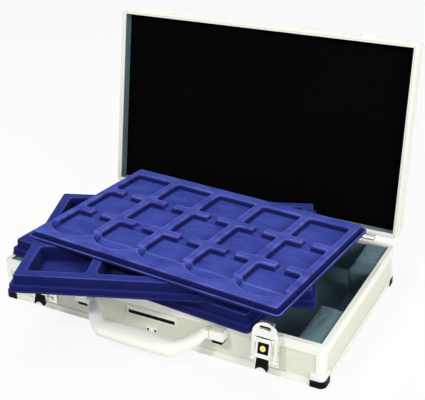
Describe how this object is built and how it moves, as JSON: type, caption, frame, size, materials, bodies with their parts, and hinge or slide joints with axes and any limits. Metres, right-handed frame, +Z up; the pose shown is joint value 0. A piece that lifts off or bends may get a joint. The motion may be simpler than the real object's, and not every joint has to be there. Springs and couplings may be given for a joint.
{
  "type": "attache case",
  "caption": "Slim hard attache case lying open, lid up on a back hinge, front handle and key latches, with loose flocked compartment trays fanned on top.",
  "frame": {"origin": "middle of the underside of the lower shell, on the plane that it rests on", "axes": "+X to the right seen from the handle side, +Y towards the hinge, +Z up"},
  "size_m": [0.3865, 0.361, 0.2777],
  "materials": {
    "panel_vinyl": "finely grained off-white vinyl over board",
    "moulding_white": "smooth warm white metal moulding",
    "cap_white": "smooth white plastic",
    "foot_black": "black rubber",
    "lining_slate": "slate flocked lining",
    "lining_black": "matt black padded lining",
    "hinge_steel": "brushed steel",
    "latch_chrome": "bright plated steel",
    "black_plastic": "black plastic",
    "handle_ivory": "smooth ivory plastic",
    "key_brass": "brass",
    "tray_flock": "blue flocked moulded sheet"
  },
  "bodies": {
    "case": {"bottom_panel": "panel_vinyl", "base_wall_front": "panel_vinyl", "base_wall_back": "panel_vinyl", "base_wall_left": "panel_vinyl", "base_wall_right": "panel_vinyl", "base_corner_posts": "moulding_white", "base_rim": "moulding_white", "base_edging_front": "moulding_white", "base_edging_back": "moulding_white", "base_edging_left": "moulding_white", "base_edging_right": "moulding_white", "corner_caps": "cap_white", "corner_feet": "foot_black", "floor_liner": "lining_slate", "base_lining": "lining_slate", "side_block_left": "lining_slate", "side_block_right": "lining_slate", "hinge_leaf_base": "hinge_steel", "hinge_pin": "hinge_steel", "hinge_rivets_base": "hinge_steel", "label_holder": "moulding_white", "label_insert": "black_plastic", "centre_clip": "latch_chrome", "clip_screws": "black_plastic", "handle_bracket_left": "cap_white", "handle_bracket_right": "cap_white", "bracket_liners": "black_plastic", "latch_plate_left": "latch_chrome", "latch_plate_right": "latch_chrome"},
    "lid": {"lid_panel": "panel_vinyl", "lid_wall_front": "panel_vinyl", "lid_wall_back": "panel_vinyl", "lid_wall_left": "panel_vinyl", "lid_wall_right": "panel_vinyl", "lid_corner_posts": "moulding_white", "lid_rim": "moulding_white", "lid_edging": "moulding_white", "lid_corner_caps": "cap_white", "lid_side_lining": "lining_slate", "lid_lining_pad": "lining_black", "lid_catch_left": "latch_chrome", "lid_catch_right": "latch_chrome", "hinge_leaf_lid": "hinge_steel", "hinge_rivets_lid": "hinge_steel"},
    "handle": {"handle_grip": "handle_ivory", "handle_pins": "hinge_steel"},
    "lever_left_body": {"lever_left": "black_plastic", "lever_frame_left": "latch_chrome", "latch_pins_left": "latch_chrome"},
    "key_left": {"key_cylinder_left": "key_brass"},
    "bail_left_body": {"bail_left": "latch_chrome"},
    "lever_right_body": {"lever_right": "black_plastic", "lever_frame_right": "latch_chrome", "latch_pins_right": "latch_chrome"},
    "key_right": {"key_cylinder_right": "key_brass"},
    "bail_right_body": {"bail_right": "latch_chrome"},
    "lowest_tray": {"tray_lowest": "tray_flock"},
    "second_tray": {"tray_second": "tray_flock"},
    "flat_tray": {"tray_flat": "tray_flock"}
  },
  "joints": [
    {"name": "lid_hinge", "type": "hinge", "parent": "case", "child": "lid", "pos_m": [0, 0.1188, 0.0462], "axis": [-1, 0, 0], "range_deg": [-32, 0]},
    {"name": "handle_pivot", "type": "hinge", "parent": "case", "child": "handle", "pos_m": [0, -0.1205, 0.031], "axis": [1, 0, 0], "range_deg": [-74, 20]},
    {"name": "lever_left_lift", "type": "hinge", "parent": "case", "child": "lever_left_body", "pos_m": [-0.1325, -0.1205, 0.0415], "axis": [-1, 0, 0], "range_deg": [-10, 25]},
    {"name": "bail_left_swing", "type": "hinge", "parent": "lever_left_body", "child": "bail_left_body", "pos_m": [-0.1325, -0.1234, 0.02065], "axis": [1, 0, 0], "range_deg": [0, 95]},
    {"name": "key_left_turn", "type": "hinge", "parent": "lever_left_body", "child": "key_left", "pos_m": [-0.1325, -0.12583, 0.03568], "axis": [0, -0.9781, 0.2079], "range_deg": [0, 90]},
    {"name": "lever_right_lift", "type": "hinge", "parent": "case", "child": "lever_right_body", "pos_m": [0.1325, -0.1205, 0.0415], "axis": [-1, 0, 0], "range_deg": [-10, 40]},
    {"name": "bail_right_swing", "type": "hinge", "parent": "lever_right_body", "child": "bail_right_body", "pos_m": [0.1325, -0.1234, 0.02065], "axis": [1, 0, 0], "range_deg": [0, 95]},
    {"name": "key_right_turn", "type": "hinge", "parent": "lever_right_body", "child": "key_right", "pos_m": [0.1325, -0.12583, 0.03568], "axis": [0, -0.9781, 0.2079], "range_deg": [0, 90]},
    {"name": "lowest_tray_lift", "type": "slide", "parent": "case", "child": "lowest_tray", "axis": [0, 0, 1], "range_m": [0, 0.06]},
    {"name": "second_tray_lift", "type": "slide", "parent": "lowest_tray", "child": "second_tray", "axis": [0, 0, 1], "range_m": [0, 0.06]},
    {"name": "flat_tray_lift", "type": "slide", "parent": "second_tray", "child": "flat_tray", "axis": [0, 0, 1], "range_m": [0, 0.06]}
  ]
}
